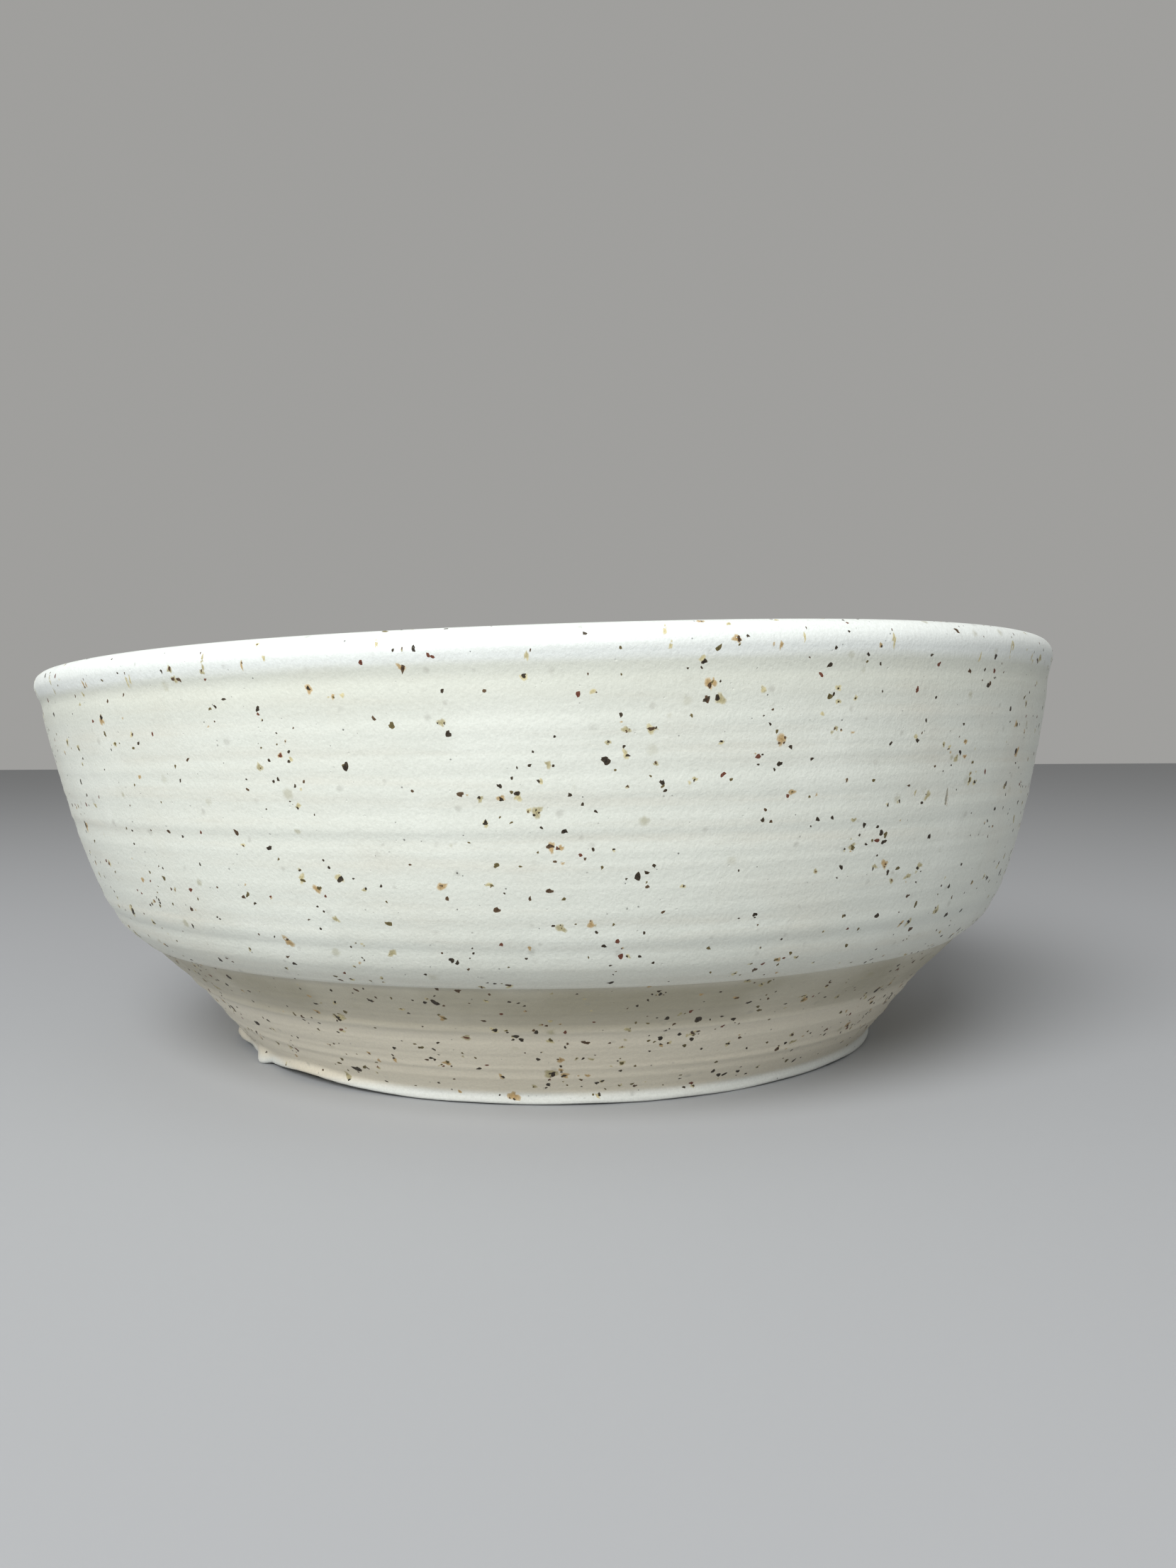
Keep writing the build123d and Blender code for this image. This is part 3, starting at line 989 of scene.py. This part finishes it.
# ---------------- materials
class Nodes:
    """Short calls for building a material's node tree. Lengths are in millimetres."""

    def __init__(self, name):
        self.material = bpy.data.materials.new(name)
        self.material.use_nodes = True
        self.tree = self.material.node_tree
        self.shader = self.tree.nodes["Principled BSDF"]
        self.mm = self.vector("SCALE", self.add("TexCoord", {})["Object"], scale=1 / MM)

    def fill(self, node, inputs):
        """Gives a node's inputs, by name or number, their links or values."""
        for key, value in inputs.items():
            if isinstance(value, bpy.types.NodeSocket):
                self.tree.links.new(value, node.inputs[key])
            else:
                node.inputs[key].default_value = value

    def add(self, kind, inputs, **settings):
        """Adds a node, and returns its outputs."""
        node = self.tree.nodes.new("ShaderNode" + kind)
        for name, value in settings.items():
            setattr(node, name, value)
        self.fill(node, inputs)
        return node.outputs

    def vector(self, operation, a, b=(0.0, 0.0, 0.0), scale=1.0, output="Vector"):
        return self.add("VectorMath", {0: a, 1: b, 3: scale}, operation=operation)[output]

    def math(self, operation, a, b=0.0):
        return self.add("Math", {0: a, 1: b}, operation=operation)[0]

    def times(self, a, b):
        return self.math("MULTIPLY", a, b)

    def plus(self, a, b):
        return self.math("ADD", a, b)

    def ramp(self, value, low, high, to_low=0.0, to_high=1.0, shape="SMOOTHSTEP"):
        inputs = {0: value, 1: low, 2: high, 3: to_low, 4: to_high}
        return self.add("MapRange", inputs, interpolation_type=shape)[0]

    def noise(self, scale, detail=2.0, roughness=0.5, place=None, output="Fac"):
        place = self.mm if place is None else place
        inputs = {"Vector": place, "Scale": scale, "Detail": detail, "Roughness": roughness}
        return self.add("TexNoise", inputs)[output]

    def mix(self, amount, a, b):
        a, b = ((*c, 1.0) if isinstance(c, tuple) else c for c in (a, b))
        return self.add("Mix", {0: amount, 6: a, 7: b}, data_type="RGBA")[2]

    def own(self, attribute, output="Fac"):
        """A value that the mesh carries at its points."""
        return self.add("Attribute", {}, attribute_name=attribute)[output]

    def finish(self, colour, roughness, height):
        """Ends the tree with a colour, a roughness and a height that bumps the surface."""
        normal = self.add("Bump", {"Strength": 1.0, "Distance": MM, "Height": height})["Normal"]
        self.fill(self.shader, {"Base Color": colour, "Roughness": roughness, "Normal": normal})
        return self.material

    def spots(self, size, radius, shift, ragged, edge):
        """Ragged spots about size apart. Returns how far each point is in one, and a random value
        for each spot."""
        wander = self.vector("SUBTRACT", self.noise(1.6, 2.0, 0.6, output="Color"), (0.5, 0.5, 0.5))
        place = self.vector("ADD", self.mm, self.vector("SCALE", wander, scale=ragged))
        place = self.vector("ADD", place, (shift, shift * 1.7, -shift))
        cell = self.add("TexVoronoi", {"Vector": place, "Scale": 1 / size})
        chance = self.add("SeparateColor", {0: cell["Color"]})
        own_radius = self.ramp(chance[0], 0.0, 1.0, radius * 0.55, radius * 1.25, "LINEAR")
        share = self.math("DIVIDE", self.times(cell["Distance"], size), own_radius)
        return self.ramp(share, 1.0 - edge, 1.0 + edge, 1.0, 0.0), chance[1]


GLAZE_COLOUR = srgb(221, 225, 216)
THIN_COLOUR = srgb(211, 206, 191)
POOLED_COLOUR = srgb(230, 234, 226)
# White of the lip, partly double-dipped glaze and partly painted highlight; also the painted
# highlight along the foot's bottom edge
EDGE_WHITE_AND_HIGHLIGHT = srgb(230, 235, 232)
# Painted shade below the lip
UNDER_LIP_PAINTED_SHADE = srgb(204, 207, 195)
# Painted shade for the belt under the shoulder
BELT_PAINTED_SHADE = srgb(162, 156, 134)
FOOT_COLOUR = srgb(223, 214, 193)
MOTTLE_COLOUR = srgb(150, 150, 138)
IRON_BLACK = srgb(28, 22, 18)
OLIVE = srgb(150, 144, 104)
MUTED = srgb(150, 148, 138)
SCORCHED, PALE_RUST = srgb(30, 22, 16), srgb(214, 196, 160)
BUFF, DARK_BUFF, GROG = srgb(196, 176, 150), srgb(176, 152, 124), srgb(84, 60, 44)


def glaze_material(name, banded):
    """Satin off-white glaze. It is whitest at the lip, partly from the double dip and partly as
    painted highlight, and has a little painted shade below the lip. A banded coat is warmer low
    down, with a belt of painted shade under the shoulder and a painted highlight along the foot's
    bottom edge."""
    n = Nodes(name)
    height = n.own("level")
    cloud = n.noise(0.05, 3.0, 0.55)
    streaks = n.noise(1.0, 3.0, 0.6, place=n.vector("MULTIPLY", n.mm, (0.02, 0.02, 0.45)))
    thin = n.plus(n.ramp(streaks, 0.45, 0.75, 0.0, 0.28), n.ramp(cloud, 0.5, 0.75, 0.0, 0.22))
    colour = n.mix(thin, GLAZE_COLOUR, THIN_COLOUR)
    colour = n.mix(n.ramp(cloud, 0.48, 0.3, 0.0, 0.5), colour, POOLED_COLOUR)
    ragged_height = n.plus(height, n.times(n.math("SUBTRACT", streaks, 0.5), 1.6))
    if banded:
        colour = n.mix(n.ramp(height, 30.0, 14.0, 0.0, 0.85), colour, FOOT_COLOUR)
        # Painted shade: a darker belt under the shoulder, where the wall turns to face down,
        # deepest towards the shoulder and patchy.
        deeper = n.ramp(ragged_height, 13.0, 19.0, 0.55, 0.95)
        patchy = n.ramp(cloud, 0.35, 0.6, 0.7, 1.0)
        belt = n.times(n.ramp(ragged_height, 12.9, 14.6), n.ramp(ragged_height, 23.9, 20.0))
        colour = n.mix(n.times(belt, n.times(deeper, patchy)), colour, BELT_PAINTED_SHADE)
        # Painted highlight along the foot's bottom edge.
        colour = n.mix(n.ramp(height, 2.6, 1.4, 0.0, 0.8), colour, EDGE_WHITE_AND_HIGHLIGHT)
    # Painted shade on the wall below the lip, growing towards it.
    colour = n.mix(n.times(n.ramp(height, 58.0, 64.0), 0.55), colour, UNDER_LIP_PAINTED_SHADE)
    # The lip's white: partly the double dip, partly painted highlight.
    colour = n.mix(n.ramp(ragged_height, DIP_HEIGHT - 1.1, DIP_HEIGHT + 0.7), colour, EDGE_WHITE_AND_HIGHLIGHT)
    mottle = n.noise(2.6, 3.0, 0.65)
    colour = n.mix(n.ramp(mottle, 0.62, 0.36, 0.0, 0.10), colour, MOTTLE_COLOUR)

    # Soft marks under the glaze and a fine dust of iron. Larger spots are a piece of their own.
    under, _ = n.spots(4.0, 0.42, 3.1, 0.5, edge=0.6)
    colour = n.mix(n.times(under, 0.30), colour, MUTED)
    olive, chance = n.spots(6.0, 0.60, 17.3, 0.9, edge=0.5)
    colour = n.mix(n.times(olive, n.ramp(chance, 0.2, 1.0, 0.0, 0.5)), colour, OLIVE)
    dust, chance = n.spots(1.7, 0.115, 43.7, 0.2, edge=0.4)
    colour = n.mix(n.times(dust, n.ramp(chance, 0.2, 1.0, 0.0, 0.75)), colour, IRON_BLACK)

    # Satin surface: the dust is drier and lies in pits, and the coat has a fine eggshell grain
    rough = n.plus(n.ramp(n.noise(0.35, 3.0), 0.3, 0.7, 0.36, 0.46), n.times(dust, 0.14))
    grain = n.times(n.noise(1.6, 3.0, 0.65), 0.065)
    swell = n.times(n.noise(0.22, 2.0), 0.10)
    n.shader.inputs["IOR"].default_value = 1.5
    return n.finish(colour, rough, n.plus(n.plus(grain, swell), n.times(dust, -0.03)))


def iron_material():
    """Iron that has burnt through the glaze: each spot has its own tint, a little uneven."""
    n = Nodes("burnt_iron")
    tint = n.own("tint", "Color")
    darker = n.mix(n.times(n.own("iron"), 0.45), tint, SCORCHED)
    lighter = n.mix(0.07, tint, PALE_RUST)
    colour = n.mix(n.ramp(n.noise(3.0, 3.0, 0.7), 0.3, 0.7), darker, lighter)
    rough = n.ramp(n.noise(2.0, 2.0), 0.3, 0.7, 0.42, 0.6)
    n.shader.inputs["Specular IOR Level"].default_value = 0.25
    return n.finish(colour, rough, n.times(n.noise(4.0, 3.0, 0.7), 0.03))


def clay_material():
    """Bare buff stoneware with grog, turning rings and a little iron."""
    n = Nodes("bare_stoneware")
    colour = n.mix(n.ramp(n.noise(0.12, 4.0), 0.3, 0.7), BUFF, DARK_BUFF)
    specks, chance = n.spots(1.7, 0.2, 5.5, 0.3, edge=0.3)
    colour = n.mix(n.times(specks, n.ramp(chance, 0.3, 1.0, 0.0, 0.8)), colour, GROG)
    rough = n.ramp(n.noise(0.6, 3.0), 0.3, 0.7, 0.78, 0.92)
    radius = n.vector("LENGTH", n.vector("MULTIPLY", n.mm, (1.0, 1.0, 0.0)), output="Value")
    rings = n.times(n.math("SINE", n.times(radius, 5.2)), 0.02)
    return n.finish(colour, rough, n.plus(rings, n.times(n.noise(2.2, 4.0, 0.7), 0.12)))


outer_coat = glaze_material("satin_glaze_outside", banded=True)
inner_coat = glaze_material("satin_glaze_inside", banded=False)
for name in ("wall_glaze", "foot_glaze"):
    pieces[name].data.materials.append(outer_coat)
for name in ("rim_glaze", "slot_glaze", "inner_glaze"):
    pieces[name].data.materials.append(inner_coat)
bare = clay_material()
for name in ("clay_wall", "clay_floor", "foot_ring"):
    pieces[name].data.materials.append(bare)
pieces["iron_spots"].data.materials.append(iron_material())

for name, piece in pieces.items():
    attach(piece, "root")
for name in ("wall_glaze", "foot_glaze", "slot_glaze", "inner_glaze"):
    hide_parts(name)
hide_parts("rim_glaze")
for name in ("clay_wall", "clay_floor", "foot_ring"):
    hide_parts(name)


# ---------------- camera
CAMERA_PLACE = Vector((0, -240.4, 55.0)) * MM
CAMERA_PAN, CAMERA_TILT, CAMERA_ROLL = (math.radians(a) for a in (-1.44, -1.82, -0.30))

camera_data = bpy.data.cameras.new("camera")
camera_data.lens = 27.03
camera_data.sensor_width = 36.0
camera_data.clip_start = 0.005
camera_data.clip_end = 20.0
camera = bpy.data.objects.new("camera", camera_data)
aim = Matrix.Rotation(CAMERA_PAN, 4, "Z") @ Matrix.Rotation(math.pi / 2 + CAMERA_TILT, 4, "X")
roll = Matrix.Rotation(CAMERA_ROLL, 4, "Z")
camera.matrix_world = Matrix.Translation(CAMERA_PLACE) @ aim @ roll
bpy.context.scene.collection.objects.link(camera)
bpy.context.scene.camera = camera


# ---------------- floor and light
FLOOR_HALF = 3.0
FLOOR_COLOUR = srgb(168, 170, 173)
LIGHT_PLACE, LIGHT_AIM = Vector((-0.32, -0.84, 0.80)), Vector((0, 0, 0.03))


def floor():
    """A plain pale floor that is one large flat sheet."""
    mesh = bpy.data.meshes.new("floor")
    signs = ((-1, -1), (1, -1), (1, 1), (-1, 1))
    mesh.from_pydata([(FLOOR_HALF * x, FLOOR_HALF * y, 0) for x, y in signs], [], [(0, 1, 2, 3)])
    sheet_piece = link("floor", mesh)
    n = Nodes("pale_floor")
    n.fill(n.shader, {"Base Color": (*FLOOR_COLOUR, 1.0), "Roughness": 0.75})
    mesh.materials.append(n.material)


def sky_light():
    """A large soft disk of light, high on the left front."""
    data = bpy.data.lights.new("sky_light", "AREA")
    data.shape = "DISK"
    data.size = 0.8
    data.energy = 16.4
    data.color = (1.0, 1.0, 0.995)
    lamp = bpy.data.objects.new("sky_light", data)
    lamp.location = LIGHT_PLACE
    lamp.rotation_euler = (LIGHT_AIM - LIGHT_PLACE).to_track_quat("-Z", "Y").to_euler()
    bpy.context.scene.collection.objects.link(lamp)


floor()
sky_light()
world = bpy.data.worlds.new("studio")
world.use_nodes = True
sky = world.node_tree.nodes["Background"]
sky.inputs["Color"].default_value = (1.0, 0.99, 0.96, 1.0)
sky.inputs["Strength"].default_value = 0.35
bpy.context.scene.world = world
bpy.context.scene.view_settings.view_transform = "Standard"
